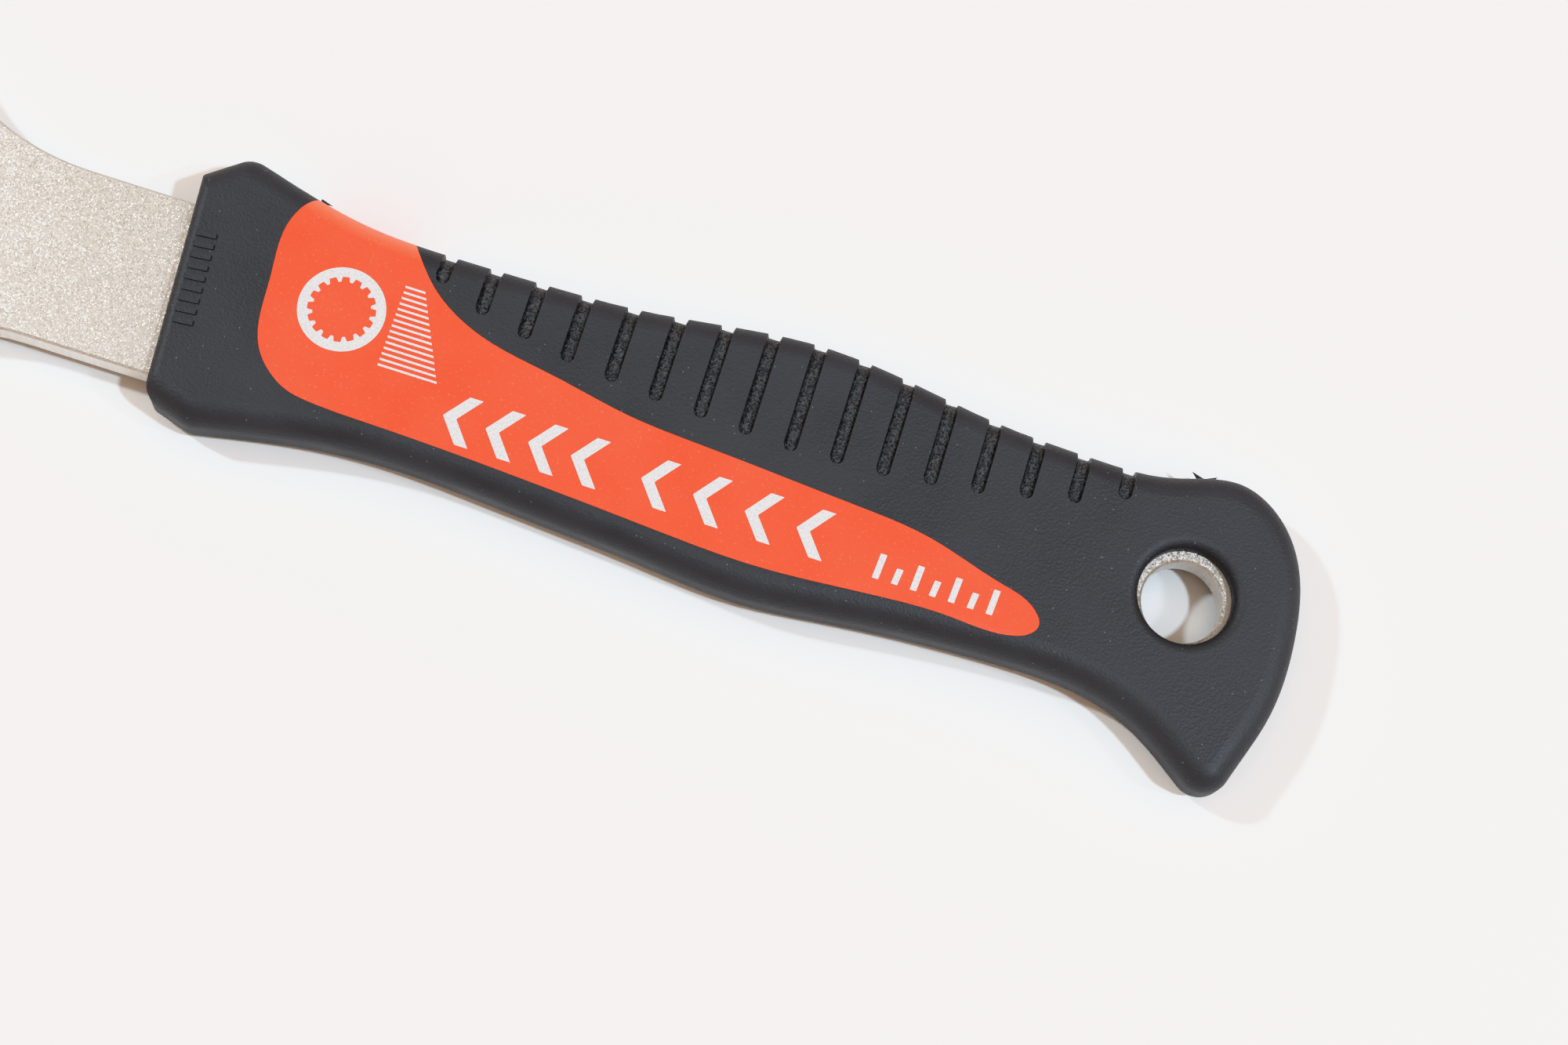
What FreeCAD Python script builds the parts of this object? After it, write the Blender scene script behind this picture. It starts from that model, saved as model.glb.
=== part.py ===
import FreeCAD, Part
import math
import os

V = FreeCAD.Vector

# A ring spanner for bicycle bottom-bracket cups: one flat steel plate with a
# notched ring at one end, and a two-colour handle moulded on its other end.
# Origin: ring centre, half way through the plate.  +X runs along the tool to
# the butt of the handle, +Y is the grooved side of the handle, +Z is up.

# --- Steel plate ---------------------------------------------------------
plate_thickness = 4.0
blade_width = 23.0                 # neck between the ring and the handle
edge_break = 0.3                   # chamfer on the blanked edges
ring_diameter = 60.0
cup_root_diameter = 44.6           # ring bore between its teeth
cup_tip_diameter = 41.2            # across the tips of the teeth
tooth_count = 16
tooth_tip_radius = 2.0
neck_radius = 32.0                 # flare from the neck into the ring
ring_to_handle = 58.4              # ring centre to the front end of the handle
blade_seat = 5.0                   # full width carried into the handle
tang_width = 17.0                  # plate inside the handle
tang_eye_diameter = 21.0           # rounded end of the tang about the hole
anchor_hole_diameter = 8.0         # filled by the core, locks it to the tang
anchor_pitch = 32.0

# --- Handle --------------------------------------------------------------
handle_length = 147.6
handle_thickness = 9.0
side_band = 1.3                    # upright part of the edge, above the seam
front_rounding = 1.4               # edge rounding where the blade comes out
front_top_radius = 1.6             # corners of the outline, seen from above
front_low_radius = 3.0
peak_radius = 3.4
butt_tip_radius = 3.4
hanging_hole_diameter = 10.4       # through the steel
hole_from_butt = 14.9
hole_off_axis = 0.85
cover_bore_diameter = 12.2         # through the rubber, wider than the steel's
cover_bore_shift = 0.5             # the rubber's bore sits a little off the steel's
bore_lip_rounding = 1.4
seam_width = 0.16                  # parting line of the mould, at mid thickness
seam_depth = 0.15

# --- Finger grooves ------------------------------------------------------
groove_pitch = 5.96
groove_floor_width = 1.4
groove_depth = 0.55
groove_ring_ramp = 0.25            # gentle wall, on the ring's side
groove_butt_ramp = 0.15            # steep wall, on the butt's side

# --- Core and its window -------------------------------------------------
core_half_width = 10.6             # hidden body round the tang
core_rounding = 1.5
core_cover = 1.1                   # rubber over the hidden body, top and bottom
core_front_gap = 6.0               # from the front end of the handle
core_back_gap = 4.0                # from the eye of the tang

# --- Raised bars at the front end ---------------------------------------
bar_count = 9
bar_length = 2.5
bar_width = 0.7
bar_pitch = 1.45
bar_height = 0.2
bar_edge_gap = 1.35                # from the slanted front edge
bar_row_place = 0.52               # middle of the row, as a share of that edge

# Outlines of the handle and of the window, seen from above.  Each point is a
# share of the handle's length from its front end, and a distance from the
# tool's axis in millimetres.
front_top_corner = (-0.0025, 15.6)
front_peak = (0.0312, 19.5)
front_low_peak = (0.0572, -16.3)
front_low_corner = (0.0165, -14.4)
grooved_side = [
    (0.0935, 17.0), (0.149, 15.45), (0.210, 15.05), (0.298, 15.25),
    (0.386, 15.9), (0.461, 17.4), (0.542, 18.6), (0.623, 17.7),
    (0.705, 16.0), (0.80, 15.35), (0.860, 16.0)]
butt_end = [(0.923, 18.0), (0.959, 15.6), (0.986, 10.4), (1.0, 1.0), (0.9955, -10.0)]
butt_tip = (0.965, -23.7)
smooth_side = [
    (0.911, -18.0), (0.876, -15.2), (0.824, -13.38), (0.766, -13.2),
    (0.687, -13.78), (0.617, -14.8), (0.542, -15.8), (0.447, -14.8),
    (0.3435, -13.7), (0.244, -12.8), (0.171, -13.26), (0.103, -14.9)]
window_front = [
    (0.1000, 17.2), (0.0905, 15.2), (0.0820, 12.4), (0.0799, 9.5),
    (0.0833, 4.4), (0.0868, -1.1), (0.0949, -4.6), (0.1099, -7.1),
    (0.1269, -8.6), (0.149, -9.25)]
window_low_edge = [
    (0.2075, -9.6), (0.3405, -10.4), (0.4463, -11.35), (0.542, -11.97),
    (0.5835, -11.7), (0.645, -10.95), (0.712, -10.6), (0.767, -10.5)]
window_tip = [(0.7824, -9.35), (0.7857, -8.45), (0.7784, -6.5)]
window_high_edge = [
    (0.7466, -4.65), (0.678, -1.8), (0.6105, -0.7), (0.542, 0.0),
    (0.4735, 0.65), (0.4055, 1.45), (0.3375, 3.35), (0.269, 5.35),
    (0.2348, 7.6), (0.2171, 9.5), (0.1980, 12.6), (0.1857, 15.2)]
groove_ends = [
    (0.2150, 14.4), (0.2568, 8.8), (0.338, 6.4), (0.4185, 5.1), (0.54, 4.2),
    (0.6206, 4.8), (0.7015, 6.4), (0.7822, 9.1), (0.8226, 11.6)]

plate_top = plate_thickness / 2
handle_top = handle_thickness / 2
side_rounding = handle_top - side_band
hole_x = ring_to_handle + handle_length - hole_from_butt
hole_at = V(hole_x, hole_off_axis, 0)
cover_bore_at = hole_at + V(0, cover_bore_shift, 0)


def on_handle(point):
    return V(ring_to_handle + point[0] * handle_length, point[1], 0)


def direction(start, end):
    return (end - start).normalize()


def curve_through(points, first_direction=None, last_direction=None):
    curve = Part.BSplineCurve()
    if first_direction is None:
        curve.interpolate(points)
    else:
        curve.interpolate(
            Points=points, InitialTangent=first_direction, FinalTangent=last_direction,
            Scale=False)
    return curve


def rounded_corner(point, way_in, way_out, radius):
    """Arc of that radius that touches both ways through a sharp corner."""
    turn = math.acos(way_in.dot(way_out))
    reach = radius * math.tan(turn / 2)
    inwards = (way_out - way_in).normalize()
    middle = point + inwards * (radius / math.cos(turn / 2) - radius)
    start = point - way_in * reach
    end = point + way_out * reach
    return start, end, Part.Arc(start, middle, end).toShape()


def slab(outline, low, high):
    solid = Part.Face(outline).extrude(V(0, 0, high - low))
    solid.translate(V(0, 0, low))
    return solid


def disc(center, diameter, height):
    base = V(center.x, center.y, -height / 2)
    return Part.makeCylinder(diameter / 2, height, base)


# --- Handle's outer form -------------------------------------------------
def handle_outline():
    """Both long sides and the butt; the front is left long, to be cut by its own slab."""
    peak, low_peak = on_handle(front_peak), on_handle(front_low_peak)
    to_peak = direction(on_handle(front_top_corner), peak)
    from_low_peak = direction(low_peak, on_handle(front_low_corner))
    upper = [on_handle(point) for point in grooved_side + butt_end]
    lower = [on_handle(point) for point in smooth_side]
    tip = on_handle(butt_tip)
    leave, arrive = direction(peak, upper[0]), direction(lower[-1], low_peak)
    to_tip, from_tip = direction(upper[-1], tip), direction(tip, lower[0])
    peak_start, peak_end, peak_arc = rounded_corner(peak, to_peak, leave, peak_radius)
    tip_start, tip_end, tip_arc = rounded_corner(tip, to_tip, from_tip, butt_tip_radius)
    low_start, low_end, low_arc = rounded_corner(
        low_peak, arrive, from_low_peak, peak_radius)
    high_side = curve_through([peak_end] + upper + [tip_start], leave, to_tip)
    low_side = curve_through([tip_end] + lower + [low_start], from_tip, arrive)
    top_end = peak_start - to_peak * handle_thickness
    bottom_end = low_end + from_low_peak * handle_thickness
    return Part.Wire([
        high_side.toShape(), tip_arc, low_side.toShape(), low_arc,
        Part.makeLine(low_end, bottom_end), Part.makeLine(bottom_end, top_end),
        Part.makeLine(top_end, peak_start), peak_arc])


def rounded_slab(outline, rounding, keep_square):
    """Slab of an outline with its top and bottom edges rounded, but not past a line."""
    block = slab(outline, -handle_top, handle_top)
    edges = []
    for edge in block.Edges:
        box = edge.BoundBox
        if box.ZLength < 0.001 and not keep_square(box):
            edges.append(edge)
    return block.makeFillet(rounding, edges)


def front_slab():
    """Slab that cuts the front end off on its slant, with its own softer edge."""
    top, low = on_handle(front_top_corner), on_handle(front_low_corner)
    peak, low_peak = on_handle(front_peak), on_handle(front_low_peak)
    into_top, from_low = direction(peak, top), direction(low, low_peak)
    down = direction(top, low)
    top_start, top_end, top_arc = rounded_corner(top, into_top, down, front_top_radius)
    low_start, low_end, low_arc = rounded_corner(low, down, from_low, front_low_radius)
    far = ring_to_handle + 2 * handle_length
    high, deep = top_start - into_top * handle_length, low_end + from_low * handle_length
    outline = Part.Wire([
        Part.makeLine(high, top_start), top_arc, Part.makeLine(top_end, low_start), low_arc,
        Part.makeLine(low_end, deep), Part.makeLine(deep, V(far, deep.y, 0)),
        Part.makeLine(V(far, deep.y, 0), V(far, high.y, 0)), Part.makeLine(V(far, high.y, 0), high)])
    return rounded_slab(outline, front_rounding, lambda box: box.XMax > far - 1)


def handle_form():
    outline = handle_outline()
    long_form = rounded_slab(outline, side_rounding, lambda box: box.XMax < ring_to_handle)
    return long_form.common(front_slab()), outline


def groove_reach(share):
    """How near the tool's axis a groove comes, from its place along the handle."""
    for (x0, y0), (x1, y1) in zip(groove_ends[:-1], groove_ends[1:]):
        if share <= x1:
            return y0 + (y1 - y0) * (share - x0) / (x1 - x0)
    return groove_ends[-1][1]


def groove_stations():
    """Where each groove's floor starts along X, and how near the axis it ends."""
    first, last = groove_ends[0][0] * handle_length, groove_ends[-1][0] * handle_length
    count = int((last - first) / groove_pitch + 0.5) + 1
    places = [first + index * groove_pitch for index in range(count)]
    return [(ring_to_handle + place, groove_reach(place / handle_length)) for place in places]


def wrap_path(x, reach, side):
    """Line round the handle's edge, from the top face to the bottom face."""
    bend = side - side_rounding
    start = min(reach, bend - groove_depth)
    off = side_rounding * math.sqrt(0.5)
    top, band = handle_top, side_band
    arc_top = Part.Arc(V(x, bend, top), V(x, bend + off, band + off), V(x, side, band))
    arc_low = Part.Arc(V(x, side, -band), V(x, bend + off, -band - off), V(x, bend, -top))
    return Part.Wire([
        Part.makeLine(V(x, start, top), V(x, bend, top)), arc_top.toShape(),
        Part.makeLine(V(x, side, band), V(x, side, -band)), arc_low.toShape(),
        Part.makeLine(V(x, bend, -top), V(x, start, -top))])


def groove_cutter(x, reach, side):
    """One groove's section swept round the edge, and its two rounded ends."""
    path = wrap_path(x, reach, side)
    y = path.Vertexes[0].Point.y
    floor, above = handle_top - groove_depth, handle_top + groove_depth
    right = x + groove_floor_width
    section = Part.makePolygon([
        V(x, y, floor), V(right, y, floor), V(right + 2 * groove_butt_ramp, y, above),
        V(x - 2 * groove_ring_ramp, y, above), V(x, y, floor)])
    channel = path.makePipeShell([section], True, False)
    half = groove_floor_width / 2
    ends = []
    for height, up in ((floor, 1), (-floor, -1)):
        ends.append(Part.makeCone(
            half, half + 2 * groove_butt_ramp, above - floor, V(x + half, y, height), V(0, 0, up)))
    return [channel] + ends


def cut_grooves(outer, outline):
    """Shallow channels that wrap over the edge and end part way across."""
    face = Part.Face(outline)
    cutters = []
    for x, reach in groove_stations():
        across = Part.makeLine(V(x, 0, 0), V(x, 4 * reach + blade_width, 0))
        side = face.common(across).BoundBox.YMax
        cutters += groove_cutter(x, reach, side)
    return outer.cut(cutters)


def cut_seam(outer, outline):
    """Fine parting line round the handle at mid thickness."""
    inner = outline.makeOffset2D(-seam_depth)
    strip = slab(outline.makeOffset2D(seam_depth), -seam_width / 2, seam_width / 2)
    return outer.cut(strip.cut(slab(inner, -seam_width, seam_width)))


def cut_cover_bore(outer):
    """Bore for the hanging hole, with a rounded lip on both faces."""
    bored = outer.cut(disc(cover_bore_at, cover_bore_diameter, 2 * handle_thickness))
    rims = []
    for edge in bored.Edges:
        box = edge.BoundBox
        at_bore = (box.Center - cover_bore_at).Length < handle_thickness
        if box.ZLength < 0.001 and abs(box.XLength - cover_bore_diameter) < 0.01 and at_bore:
            rims.append(edge)
    return bored.makeFillet(bore_lip_rounding, rims)


def raised_bars():
    """Row of short bars that stands just proud of the front end."""
    foot, head = on_handle(front_low_corner), on_handle(front_top_corner)
    along = direction(foot, head)
    across = V(along.y, -along.x, 0)
    middle = foot + (head - foot) * bar_row_place
    bars = []
    for index in range(bar_count):
        step = (index - (bar_count - 1) / 2) * bar_pitch
        start = middle + along * (step - bar_width / 2) + across * bar_edge_gap
        corners = [start, start + across * bar_length,
                   start + across * bar_length + along * bar_width, start + along * bar_width]
        outline = Part.makePolygon(corners + [start])
        bars.append(slab(outline, handle_top - bar_height, handle_top + bar_height))
    return bars


# --- Steel plate ---------------------------------------------------------
def plate_outline():
    """Ring, flare and straight blade; the tang is added to it."""
    ring, half = ring_diameter / 2, blade_width / 2
    reach = ring + neck_radius
    flare_y = half + neck_radius
    flare_x = math.sqrt(reach ** 2 - flare_y ** 2)
    turn = math.atan2(flare_y, flare_x)
    on_ring = V(ring * math.cos(turn), ring * math.sin(turn), 0)
    middle_turn = (turn + math.pi / 2) / 2
    on_flare = V(flare_x - neck_radius * math.cos(middle_turn),
                 flare_y - neck_radius * math.sin(middle_turn), 0)
    shoulder = ring_to_handle + blade_seat
    upper = [Part.Arc(V(flare_x, half, 0), on_flare, on_ring).toShape()]
    back = Part.Arc(on_ring, V(-ring, 0, 0), V(on_ring.x, -on_ring.y, 0)).toShape()
    lower = [Part.Arc(V(on_ring.x, -on_ring.y, 0), V(on_flare.x, -on_flare.y, 0),
                      V(flare_x, -half, 0)).toShape()]
    end = Part.makePolygon([V(flare_x, -half, 0), V(shoulder, -half, 0),
                            V(shoulder, half, 0), V(flare_x, half, 0)])
    return Part.Wire(upper + [back] + lower + end.Edges)


def notched_bore():
    """Bore of the ring with the cup's teeth left standing in it."""
    bore = disc(V(0, 0, 0), cup_root_diameter, 2 * plate_thickness)
    tooth_center = cup_tip_diameter / 2 + tooth_tip_radius
    teeth = []
    for index in range(tooth_count):
        turn = 2 * math.pi * index / tooth_count
        center = V(tooth_center * math.cos(turn), tooth_center * math.sin(turn), 0)
        teeth.append(disc(center, 2 * tooth_tip_radius, 2 * plate_thickness))
    return bore.cut(Part.makeCompound(teeth))


def spanner_plate():
    tang_start = ring_to_handle
    tang = Part.makeBox(hole_x - tang_start, tang_width, plate_thickness,
                        V(tang_start, -tang_width / 2, -plate_top))
    eye = disc(hole_at, tang_eye_diameter, plate_thickness)
    plate = slab(plate_outline(), -plate_top, plate_top).fuse([tang, eye]).removeSplitter()
    plate = plate.cut(disc(hole_at, hanging_hole_diameter, 2 * plate_thickness))
    plate = plate.cut(Part.makeCompound([
        disc(center, anchor_hole_diameter, 2 * plate_thickness) for center in anchor_places()]))
    edges = [edge for edge in plate.Edges if edge.BoundBox.ZLength < 0.001]
    return plate.makeChamfer(edge_break, edges).cut(notched_bore())


def anchor_places():
    """Hole centres along the tang, as many as fit before its eye."""
    first = ring_to_handle + blade_seat + anchor_pitch / 2
    last = hole_x - tang_eye_diameter / 2 - anchor_hole_diameter
    count = int((last - first) / anchor_pitch) + 1
    return [V(first + index * anchor_pitch, 0, 0) for index in range(count)]


# --- Core and cover ------------------------------------------------------
def hidden_core():
    """Body moulded round the tang, under the rubber."""
    start = ring_to_handle + core_front_gap
    end = hole_x - tang_eye_diameter / 2 - core_back_gap
    top = handle_top - core_cover
    block = Part.makeBox(end - start, 2 * core_half_width, 2 * top,
                         V(start, -core_half_width, -top))
    long_edges = [edge for edge in block.Edges if edge.BoundBox.XLength > end - start - 0.01]
    return block.makeFillet(core_rounding, long_edges)


def window_prism():
    """Full-height prism over the window, open past the grooved edge."""
    beyond = front_peak[1] + handle_thickness
    front = [on_handle(point) for point in window_front]
    low = [on_handle(point) for point in window_low_edge]
    tip = [on_handle(point) for point in window_tip]
    high = [on_handle(point) for point in window_high_edge]
    outline = curve_through(front + low + tip + high).toShape()
    first, last = front[0], high[-1]
    close = Part.makePolygon([last, V(last.x, beyond, 0), V(first.x, beyond, 0), first])
    return slab(Part.Wire([outline] + close.Edges), -handle_thickness, handle_thickness)


def main():
    outer, outline = handle_form()
    outer = cut_cover_bore(outer)
    window = window_prism().common(outer)
    outer = cut_grooves(outer, outline)
    plate = spanner_plate()
    core = hidden_core().fuse(window).cut(plate)
    cover = outer.fuse(raised_bars()).cut(core).cut(plate)
    return {"spanner_plate": plate, "handle_core": core, "grip_cover": cover}


os.makedirs("parts", exist_ok=True)
for name, shape in main().items():
    print(name, shape.ShapeType, len(shape.Solids), shape.isValid(), round(shape.Volume, 1))
    shape.exportStep(os.path.join("parts", name + ".step"))
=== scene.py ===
import math

import bpy
from mathutils import Matrix, Vector


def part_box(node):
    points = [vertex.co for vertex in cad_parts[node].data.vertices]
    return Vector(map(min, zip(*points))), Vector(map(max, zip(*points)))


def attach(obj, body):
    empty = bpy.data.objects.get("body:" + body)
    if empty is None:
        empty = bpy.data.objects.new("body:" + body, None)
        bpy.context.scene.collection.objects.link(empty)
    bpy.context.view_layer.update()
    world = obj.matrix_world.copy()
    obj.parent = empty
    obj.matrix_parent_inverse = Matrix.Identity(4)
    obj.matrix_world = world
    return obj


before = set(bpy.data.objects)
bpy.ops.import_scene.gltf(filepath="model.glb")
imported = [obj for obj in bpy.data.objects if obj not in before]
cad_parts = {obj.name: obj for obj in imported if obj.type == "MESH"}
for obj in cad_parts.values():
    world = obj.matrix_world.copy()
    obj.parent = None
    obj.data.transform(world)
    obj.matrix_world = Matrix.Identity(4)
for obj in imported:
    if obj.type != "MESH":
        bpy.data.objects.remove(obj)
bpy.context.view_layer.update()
bpy.ops.object.select_all(action="DESELECT")
mm = 0.001

# --- Camera --------------------------------------------------------------
# A hand-held view from above, over the handle's smooth side.  It leans
# 14 degrees from straight down, and the tool runs across it downhill.
camera_right = Vector((0.95304, 0.28999, 0.08747)).normalized()
camera_up = Vector((-0.30276, 0.92024, 0.24796))
camera_back = camera_right.cross(camera_up).normalized()
camera_up = camera_back.cross(camera_right)
bpy.ops.object.camera_add()
camera = bpy.context.object
camera.name = "camera"
camera.matrix_world = Matrix.Translation((0.1376, -0.0981, 0.3441)) @ Matrix(
    (camera_right, camera_up, camera_back)).transposed().to_4x4()
camera.data.lens = 65.52
camera.data.sensor_width = 36.0
camera.data.clip_start = 0.01
bpy.context.scene.camera = camera
bpy.context.scene.view_settings.view_transform = "Khronos PBR Neutral"

# --- Bench top and light -------------------------------------------------
# The tool lies on a plain white painted bench.  Small lamps hang off beyond
# its two ends and give cool light, and the room fills in with warm light.
floor_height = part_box("grip_cover")[0][2]
bpy.ops.mesh.primitive_plane_add(size=3.0, location=(0.1, 0.0, floor_height))
bench = bpy.context.object
bench.name = "bench_top"
bpy.ops.object.transform_apply(location=True, rotation=True, scale=True)
bench_paint = bpy.data.materials.new("white_bench_paint")
bench_paint.use_nodes = True
bench_shader = bench_paint.node_tree.nodes["Principled BSDF"]
bench_shader.inputs["Base Color"].default_value = (0.86, 0.865, 0.87, 1.0)
bench_shader.inputs["Roughness"].default_value = 0.7
bench_shader.inputs["Specular IOR Level"].default_value = 0.2
bench.data.materials.append(bench_paint)

lamp_distance, lamp_size = 1.4, 0.09
lamp_aim = Vector((0.14, 0.0, 0.0))
# Each lamp's name, lean towards the butt in degrees, share towards the grooved
# side, power in watts and colour.
lamps = (
    ("lamp_butt_end_high", 29.0, -0.09, 11.6, (0.68, 0.86, 1.0)),
    ("lamp_butt_end_low", 44.0, 0.0, 3.0, (0.80, 0.90, 1.0)),
    ("lamp_ring_end", -44.0, 0.10, 9.6, (0.80, 0.93, 1.0)))
for lamp_name, lean_degrees, sideways, power, colour in lamps:
    lamp_lean = math.radians(lean_degrees)
    toward_lamp = Vector((math.sin(lamp_lean), sideways, math.cos(lamp_lean)))
    bpy.ops.object.light_add(type="AREA", location=lamp_aim + toward_lamp * lamp_distance)
    lamp = bpy.context.object
    lamp.name = lamp_name
    lamp.rotation_euler = toward_lamp.to_track_quat("Z", "Y").to_euler()
    lamp.data.shape = "DISK"
    lamp.data.size = lamp_size
    lamp.data.energy = power
    lamp.data.color = colour

room = bpy.data.worlds.new("warm_room")
room.use_nodes = True
bpy.context.scene.world = room
room_nodes, room_links = room.node_tree.nodes, room.node_tree.links
room_place = room_nodes.new("ShaderNodeTexCoord")
room_split = room_nodes.new("ShaderNodeSeparateXYZ")
room_blend = room_nodes.new("ShaderNodeValToRGB")
room_links.new(room_place.outputs["Generated"], room_split.inputs["Vector"])
room_links.new(room_split.outputs["Z"], room_blend.inputs["Fac"])
room_links.new(room_blend.outputs["Color"], room_nodes["Background"].inputs["Color"])
room_blend.color_ramp.elements[0].position = 0.05
room_blend.color_ramp.elements[0].color = (0.94, 0.68, 0.50, 1.0)
room_blend.color_ramp.elements[1].position = 0.75
room_blend.color_ramp.elements[1].color = (0.88, 0.64, 0.47, 1.0)
room_nodes["Background"].inputs["Strength"].default_value = 0.80


# --- Steel plate ---------------------------------------------------------
# The ring, the blade and the tang are one 4 mm steel plate.  It is blanked
# out, which leaves the edges smoother, then bead-blasted and nickel-plated.
def new_finish(name):
    """A new material: its own nodes, its links and its shader."""
    finish = bpy.data.materials.new(name)
    finish.use_nodes = True
    return finish, finish.node_tree.nodes, finish.node_tree.links


def add_node(nodes, kind, **settings):
    node = nodes.new("ShaderNode" + kind)
    for name, value in settings.items():
        if name in node.inputs:
            node.inputs[name].default_value = value
        else:
            setattr(node, name.lower(), value)
    return node


def grain(nodes, links, size, detail=2.0, stretch=(1.0, 1.0, 1.0)):
    """Even noise from 0 to 1 with lumps of about that size, in metres."""
    place = nodes.new("ShaderNodeTexCoord")
    mapping = add_node(nodes, "Mapping", Scale=stretch)
    noise = add_node(nodes, "TexNoise", Scale=1.0 / size, Detail=detail)
    links.new(place.outputs["Object"], mapping.inputs["Vector"])
    links.new(mapping.outputs["Vector"], noise.inputs["Vector"])
    return noise.outputs["Fac"]


def spread(nodes, links, value, low, high, from_low=0.3, from_high=0.7):
    """The value, stretched from one range to another."""
    ranged = nodes.new("ShaderNodeMapRange")
    for name, number in (("From Min", from_low), ("From Max", from_high),
                         ("To Min", low), ("To Max", high)):
        ranged.inputs[name].default_value = number
    links.new(value, ranged.inputs["Value"])
    return ranged.outputs["Result"]


def blend(nodes, links, factor, first, second):
    """Colour that goes from the first to the second as the factor goes from 0 to 1."""
    mix = nodes.new("ShaderNodeMix")
    mix.data_type = "RGBA"
    links.new(factor, mix.inputs["Factor"])
    for socket, colour in (("A", first), ("B", second)):
        target = [item for item in mix.inputs if item.name == socket and item.type == "RGBA"][0]
        if isinstance(colour, tuple):
            target.default_value = (*colour, 1.0)
        else:
            links.new(colour, target)
    return [item for item in mix.outputs if item.type == "RGBA"][0]


def sums(nodes, links, operation, first, second=0.5):
    """One Math node on a value and a number or another value."""
    math_node = nodes.new("ShaderNodeMath")
    math_node.operation = operation
    for place, value in ((0, first), (1, second)):
        if isinstance(value, (int, float)):
            math_node.inputs[place].default_value = value
        else:
            links.new(value, math_node.inputs[place])
    return math_node.outputs["Value"]


def vectors(nodes, links, operation, first, second=None, scale=None):
    """One Vector Math node on a vector and, if given, another vector or a scale."""
    vector_node = nodes.new("ShaderNodeVectorMath")
    vector_node.operation = operation
    links.new(first, vector_node.inputs[0])
    if isinstance(second, tuple):
        vector_node.inputs[1].default_value = second
    elif second is not None:
        links.new(second, vector_node.inputs[1])
    if scale is not None:
        links.new(scale, vector_node.inputs["Scale"])
    return vector_node.outputs["Vector"]


def parts_of(nodes, links, vector):
    """The sockets X, Y and Z of a vector."""
    split = nodes.new("ShaderNodeSeparateXYZ")
    links.new(vector, split.inputs["Vector"])
    return split.outputs


def scattered_cells(nodes, links, size):
    """Cells of that size in metres: the node, and the channels of each cell's own colour."""
    place = nodes.new("ShaderNodeTexCoord")
    cells = add_node(nodes, "TexVoronoi", Scale=1.0 / size, Randomness=1.0)
    links.new(place.outputs["Object"], cells.inputs["Vector"])
    split = nodes.new("ShaderNodeSeparateColor")
    links.new(cells.outputs["Color"], split.inputs["Color"])
    return cells, split.outputs


def bump(nodes, links, height, depth, strength=1.0, under=None):
    """Bump of that depth in metres, on top of the normal given."""
    node = add_node(nodes, "Bump", Strength=strength, Distance=depth)
    links.new(height, node.inputs["Height"])
    if under is not None:
        links.new(under, node.inputs["Normal"])
    return node.outputs["Normal"]


def dress(node_name, finish):
    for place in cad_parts[node_name].material_slots:
        place.material = finish


steel, nodes, links = new_finish("bead_blasted_steel")
shader = nodes["Principled BSDF"]
dimple_size = 0.17 * mm
facing = add_node(nodes, "NewGeometry").outputs["Normal"]
face_tilt = parts_of(nodes, links, facing)["Z"]
on_face = spread(nodes, links, sums(nodes, links, "ABSOLUTE", face_tilt), 0.0, 1.0, 0.35, 0.75)
cells, cell_colour = scattered_cells(nodes, links, dimple_size)
cell_value = cell_colour["Red"]
# Each blasted dimple leans its own way, which is what makes the face glitter.
lean = vectors(nodes, links, "SUBTRACT", cells.outputs["Color"], (0.5, 0.5, 0.5))
lean = vectors(nodes, links, "SCALE", lean,
               scale=spread(nodes, links, on_face, 0.05, 0.28, 0.0, 1.0))
leaning = vectors(nodes, links, "NORMALIZE", vectors(nodes, links, "ADD", facing, lean))
fine = grain(nodes, links, 0.16 * mm, 3.0)
shear = grain(nodes, links, 0.3 * mm, 3.0, stretch=(1.0, 1.0, 0.1))
face_bump = bump(nodes, links, fine, 0.03 * mm, 0.7, leaning)
links.new(bump(nodes, links, shear, 0.015 * mm, 0.25, face_bump), shader.inputs["Normal"])
patches = grain(nodes, links, 14 * mm, 3.0)
face_colour = blend(nodes, links, cell_value, (0.46, 0.443, 0.42), (0.66, 0.637, 0.606))
# Painted reflection: the plate's side faces are painted lighter than its top faces, standing in for
# the white bench they reflect; the streaks along them follow the shear marks.
painted_edge_reflection = blend(nodes, links, spread(nodes, links, shear, 0.0, 1.0),
                    (0.70, 0.675, 0.645), (0.80, 0.775, 0.745))
bare_colour_and_edge_reflection = blend(nodes, links, on_face, painted_edge_reflection, face_colour)
tarnish = spread(nodes, links, patches, 0.0, 0.12)
links.new(blend(nodes, links, tarnish, bare_colour_and_edge_reflection, (0.42, 0.38, 0.33)),
          shader.inputs["Base Color"])
links.new(spread(nodes, links, cell_value, 0.34, 0.62, 0.0, 1.0), shader.inputs["Roughness"])
shader.inputs["Metallic"].default_value = 0.85
dress("spanner_plate", steel)

# --- Orange core ---------------------------------------------------------
# A hard orange plastic body, moulded round the tang first.  It shows in the
# long window, where the spark-eroded mould leaves it satin and finely grained.
orange, nodes, links = new_finish("orange_moulded_plastic")
shader = nodes["Principled BSDF"]
mottle = grain(nodes, links, 9 * mm, 3.0)
pale_speck = grain(nodes, links, 0.35 * mm, 1.0)
orange_colour = blend(nodes, links, spread(nodes, links, mottle, 0.0, 1.0),
                      (0.88, 0.082, 0.013), (0.93, 0.098, 0.020))
speckled = blend(nodes, links, spread(nodes, links, pale_speck, 0.0, 0.30, 0.62, 0.82),
                 orange_colour, (1.0, 0.42, 0.26))
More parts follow.
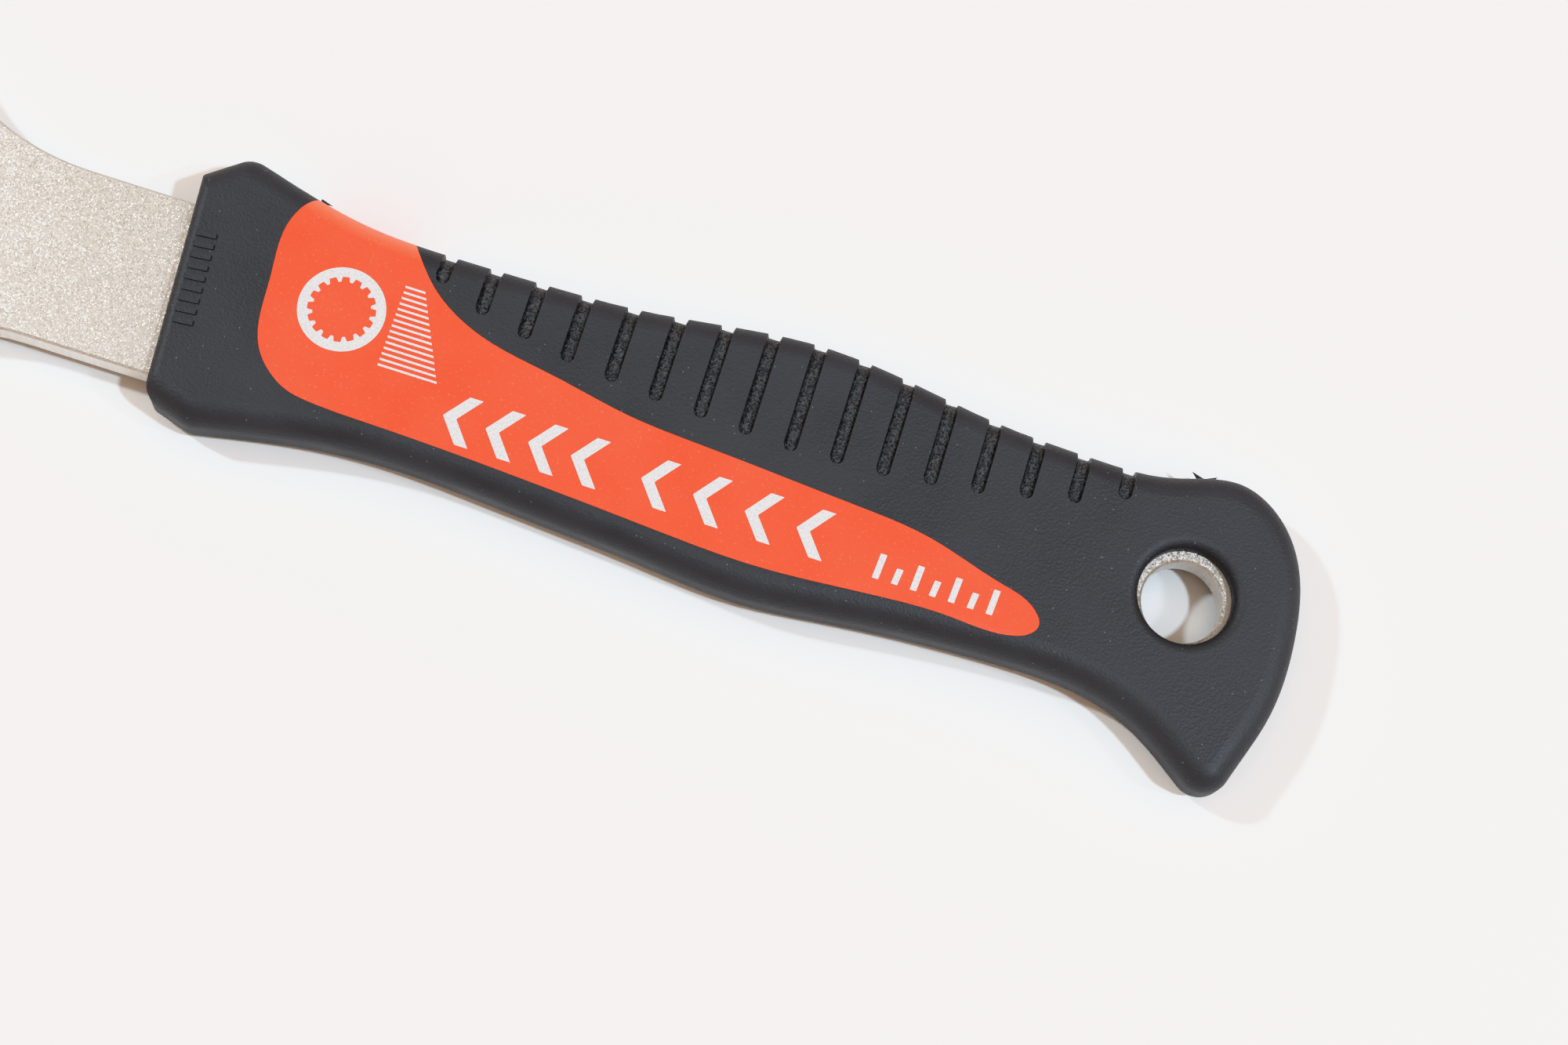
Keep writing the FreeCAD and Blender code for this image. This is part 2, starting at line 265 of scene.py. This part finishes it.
# Painted highlight: where the surface turns over towards the grooved side, the orange is painted
# paler and pinker.
turning = parts_of(nodes, links, add_node(nodes, "NewGeometry").outputs["Normal"])["Y"]
painted_turn_highlight = spread(nodes, links, turning, 0.0, 0.45, 0.12, 0.7)
links.new(blend(nodes, links, painted_turn_highlight, speckled, (1.0, 0.36, 0.20)), shader.inputs["Base Color"])
orange_fine = grain(nodes, links, 0.20 * mm, 2.0)
links.new(bump(nodes, links, orange_fine, 0.02 * mm, 0.55), shader.inputs["Normal"])
links.new(spread(nodes, links, mottle, 0.40, 0.50), shader.inputs["Roughness"])
shader.inputs["Specular IOR Level"].default_value = 0.4
dress("handle_core", orange)

# --- Rubber cover --------------------------------------------------------
# Soft black rubber, moulded over the core in a second mould.  It is matt and
# fine-grained, the floors of its finger grooves are coarser, and it holds dust.
rubber, nodes, links = new_finish("black_soft_rubber")
shader = nodes["Principled BSDF"]
face_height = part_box("handle_core")[1][2]
front_corner_reach = 0.37 * mm
handle_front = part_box("grip_cover")[0][0] + front_corner_reach
first_groove = handle_front + 31.43 * mm
groove_pitch = 5.96 * mm
groove_width = 1.9 * mm
groove_count = 16
face_skin = 0.08 * mm
grooved_half = 2.0 * mm
place = parts_of(nodes, links, nodes.new("ShaderNodeTexCoord").outputs["Object"])
along = sums(nodes, links, "DIVIDE",
             sums(nodes, links, "SUBTRACT", place["X"], first_groove), groove_pitch)
in_width = sums(nodes, links, "LESS_THAN", sums(nodes, links, "FRACT", along),
                groove_width / groove_pitch)
after_first = sums(nodes, links, "GREATER_THAN", along, 0.0)
before_last = sums(nodes, links, "LESS_THAN", along, float(groove_count))
below_face = sums(nodes, links, "LESS_THAN",
                  sums(nodes, links, "ABSOLUTE", place["Z"]), face_height - face_skin)
on_grooved_side = sums(nodes, links, "GREATER_THAN", place["Y"], grooved_half)
in_groove = in_width
for limit in (after_first, before_last, below_face, on_grooved_side):
    in_groove = sums(nodes, links, "MULTIPLY", in_groove, limit)
cloudy = grain(nodes, links, 11 * mm, 4.0)
skin_colour = blend(nodes, links, spread(nodes, links, cloudy, 0.0, 1.0),
                    (0.032, 0.034, 0.039), (0.041, 0.0435, 0.050))
# Dust sits on the skin as single pale grains, far apart.
dust_cells, dust_colour = scattered_cells(nodes, links, 0.9 * mm)
is_dusty = sums(nodes, links, "GREATER_THAN", dust_colour["Green"], 0.70)
dust_size = spread(nodes, links, dust_cells.outputs["Distance"], 1.0, 0.0, 0.04, 0.11)
dust = sums(nodes, links, "MULTIPLY", sums(nodes, links, "MULTIPLY", is_dusty, dust_size), 0.5)
dusty_colour = blend(nodes, links, dust, skin_colour, (0.34, 0.34, 0.35))
coarse = grain(nodes, links, 0.34 * mm, 3.0)
floor_colour = blend(nodes, links, spread(nodes, links, coarse, 0.0, 1.0, 0.4, 0.75),
                     (0.020, 0.021, 0.023), (0.085, 0.088, 0.094))
links.new(blend(nodes, links, in_groove, dusty_colour, floor_colour), shader.inputs["Base Color"])
rubber_fine = grain(nodes, links, 0.34 * mm, 4.0)
skin_bump = bump(nodes, links, rubber_fine, 0.10 * mm, 0.9)
floor_height_map = sums(nodes, links, "MULTIPLY", coarse, in_groove)
links.new(bump(nodes, links, floor_height_map, 0.22 * mm, 0.9, skin_bump), shader.inputs["Normal"])
skin_rough = spread(nodes, links, cloudy, 0.50, 0.62)
floor_rough = sums(nodes, links, "MULTIPLY", in_groove, -0.14)
links.new(sums(nodes, links, "ADD", skin_rough, floor_rough), shader.inputs["Roughness"])
shader.inputs["Specular IOR Level"].default_value = 0.55
shader.inputs["Specular Tint"].default_value = (0.90, 0.95, 1.0, 1.0)
dress("grip_cover", rubber)

# --- Flash of the rubber -------------------------------------------------
# Three little slivers of rubber that squeezed out where the mould halves
# meet, on the grooved side: one by the window and two behind the last groove.
# Each one's name, middle along and across the handle in mm, length, width and turn.
flash_pieces = (
    ("flash_window", 15.0, 17.15, 1.7, 0.6, -8.0),
    ("flash_butt_left", 130.5, 17.65, 2.0, 1.0, 150.0),
    ("flash_butt_right", 132.5, 17.95, 1.4, 0.8, 40.0))
flash_height = 0.6 * mm
for name, x, y, length, width, turn in flash_pieces:
    centre = Vector((handle_front + x * mm, y * mm, flash_height))
    bpy.ops.mesh.primitive_cone_add(
        vertices=10, radius1=width * mm / 2, radius2=0.0, depth=length * mm, location=centre,
        rotation=(0.0, math.radians(90), math.radians(turn)))
    sliver = bpy.context.object
    sliver.name = name
    bpy.ops.object.transform_apply(location=True, rotation=True, scale=True)
    bpy.ops.object.mode_set(mode="EDIT")
    bpy.ops.mesh.select_all(action="SELECT")
    bpy.ops.mesh.subdivide(number_cuts=2, fractal=0.3, seed=3)
    bpy.ops.mesh.normals_make_consistent(inside=False)
    bpy.ops.object.mode_set(mode="OBJECT")
    sliver.data.materials.append(rubber)
    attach(sliver, "root")
    bpy.ops.object.select_all(action="DESELECT")

# --- Printed marks -------------------------------------------------------
# Silver-grey ink, pad-printed on the orange face after moulding.  The marks
# are plain ones: a notched ring, a hatched flag, two rows of arrowheads and
# a row of ticks.  Each is a film 0.03 mm thick.
ink, nodes, links = new_finish("silver_grey_ink")
shader = nodes["Principled BSDF"]
ink_specks = grain(nodes, links, 0.25 * mm, 2.0)
links.new(blend(nodes, links, spread(nodes, links, ink_specks, 0.0, 1.0, 0.35, 0.7),
                (0.53, 0.53, 0.55), (0.68, 0.68, 0.70)), shader.inputs["Base Color"])
links.new(spread(nodes, links, ink_specks, 0.42, 0.55), shader.inputs["Roughness"])
links.new(bump(nodes, links, ink_specks, 0.01 * mm, 0.5), shader.inputs["Normal"])
film = 0.03 * mm


def select_where(piece, test):
    """In edit mode, only the vertices that pass the test are left selected."""
    bpy.ops.mesh.select_mode(type="VERT")
    bpy.ops.mesh.select_all(action="DESELECT")
    bpy.ops.object.mode_set(mode="OBJECT")
    for vertex in piece.data.vertices:
        vertex.select = test(piece.matrix_world @ vertex.co)
    bpy.ops.object.mode_set(mode="EDIT")


def ink_strip(x, y, length, height, lean=0.0):
    """Flat four-sided mark. x and y are its middle in mm from the handle's front; it leans
    by so many mm from its lower to its upper edge."""
    centre = Vector((handle_front + x * mm, y * mm, face_height))
    bpy.ops.mesh.primitive_plane_add(size=1.0, location=centre)
    strip = bpy.context.object
    bpy.ops.object.mode_set(mode="EDIT")
    bpy.ops.transform.resize(value=(length * mm, height * mm, 1.0), center_override=centre)
    select_where(strip, lambda at: at.y > centre.y)
    bpy.ops.transform.translate(value=(lean * mm / 2, 0.0, 0.0))
    select_where(strip, lambda at: at.y < centre.y)
    bpy.ops.transform.translate(value=(-lean * mm / 2, 0.0, 0.0))
    bpy.ops.object.mode_set(mode="OBJECT")
    return strip


def ink_arrowhead(x, y, stroke, height, reach):
    """Arrowhead of two slanted strokes that points to the ring."""
    centre = Vector((handle_front + x * mm, y * mm, face_height))
    arrow = ink_strip(x, y - height / 4, stroke, height / 2, -reach)
    bpy.ops.object.mode_set(mode="EDIT")
    select_where(arrow, lambda at: at.y > centre.y - 0.01 * mm)
    bpy.ops.mesh.extrude_region_move(
        TRANSFORM_OT_translate={"value": (reach * mm, height * mm / 2, 0.0)})
    bpy.ops.object.mode_set(mode="OBJECT")
    return arrow


def finish_print(name, marks, corner):
    """Joins flat marks, rounds their corners and gives them the film's thickness."""
    bpy.ops.object.select_all(action="DESELECT")
    for mark in marks:
        mark.select_set(True)
    bpy.context.view_layer.objects.active = marks[0]
    if len(marks) > 1:
        bpy.ops.object.join()
    printed = bpy.context.object
    printed.name = name
    bpy.ops.object.transform_apply(location=True, rotation=True, scale=True)
    if corner:
        bpy.ops.object.mode_set(mode="EDIT")
        bpy.ops.mesh.select_all(action="SELECT")
        bpy.ops.mesh.bevel(offset=corner * mm, segments=3, affect="VERTICES")
        bpy.ops.object.mode_set(mode="OBJECT")
    bpy.ops.object.modifier_add(type="SOLIDIFY")
    printed.modifiers[-1].thickness = 2 * film
    printed.modifiers[-1].offset = 0.0
    bpy.ops.object.modifier_apply(modifier=printed.modifiers[-1].name)
    printed.data.materials.append(ink)
    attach(printed, "root")
    bpy.ops.object.select_all(action="DESELECT")


# The notched ring.
ring_x, ring_y = 21.9, 3.3
ring_outer, ring_inner, tooth_tip, ring_teeth = 5.5, 4.25, 3.6, 16
ring_centre = Vector((handle_front + ring_x * mm, ring_y * mm, face_height))
bpy.ops.mesh.primitive_circle_add(
    vertices=ring_teeth * 8, radius=ring_outer * mm, fill_type="NOTHING", location=ring_centre)
ring_mark = bpy.context.object
bpy.ops.object.mode_set(mode="EDIT")
bpy.ops.mesh.select_all(action="SELECT")
bpy.ops.mesh.extrude_region_move()
bpy.ops.transform.resize(
    value=(ring_inner / ring_outer, ring_inner / ring_outer, 1.0), center_override=ring_centre)
select_where(ring_mark, lambda at: (at - ring_centre).length < (ring_inner + 0.2) * mm and math.cos(
    ring_teeth * math.atan2(at.y - ring_centre.y, at.x - ring_centre.x)) > 0.5)
bpy.ops.transform.resize(
    value=(tooth_tip / ring_inner, tooth_tip / ring_inner, 1.0), center_override=ring_centre)
bpy.ops.object.mode_set(mode="OBJECT")
finish_print("print_notched_ring", [ring_mark], 0.0)

# The hatched flag beside the ring.
hatch_lines, hatch_pitch, hatch_top, hatch_start = 15, 0.76, 8.6, 28.4
shortest_line, line_growth, line_stroke, line_lean = 2.6, 0.36, 0.3, -0.1
hatch = []
for index in range(hatch_lines):
    line_length = shortest_line + line_growth * index
    hatch.append(ink_strip(hatch_start + line_length / 2, hatch_top - index * hatch_pitch,
                           line_length, line_stroke, line_lean))
finish_print("print_hatched_flag", hatch, 0.0)

# Two rows of four arrowheads, and the ticks behind them.
arrows_in_row, arrow_y, arrow_height, arrow_stroke, arrow_reach = 4, -5.7, 6.4, 1.75, 2.5
arrow_corner = 0.12
for name, first, pitch in (("print_arrows_front", 40.2, 5.5), ("print_arrows_back", 65.8, 6.7)):
    row = [ink_arrowhead(first + index * pitch, arrow_y, arrow_stroke, arrow_height, arrow_reach)
           for index in range(arrows_in_row)]
    finish_print(name, row, arrow_corner)
tick_count, tick_start, tick_pitch, tick_low = 7, 95.0, 2.45, -8.9
long_tick, short_tick, tick_stroke, tick_lean, tick_corner = 3.3, 2.1, 0.85, 0.25, 0.1
ticks = []
for index in range(tick_count):
    tick_height = long_tick if index % 2 == 0 else short_tick
    ticks.append(ink_strip(tick_start + index * tick_pitch, tick_low + tick_height / 2,
                           tick_stroke, tick_height, tick_lean))
finish_print("print_ticks", ticks, tick_corner)
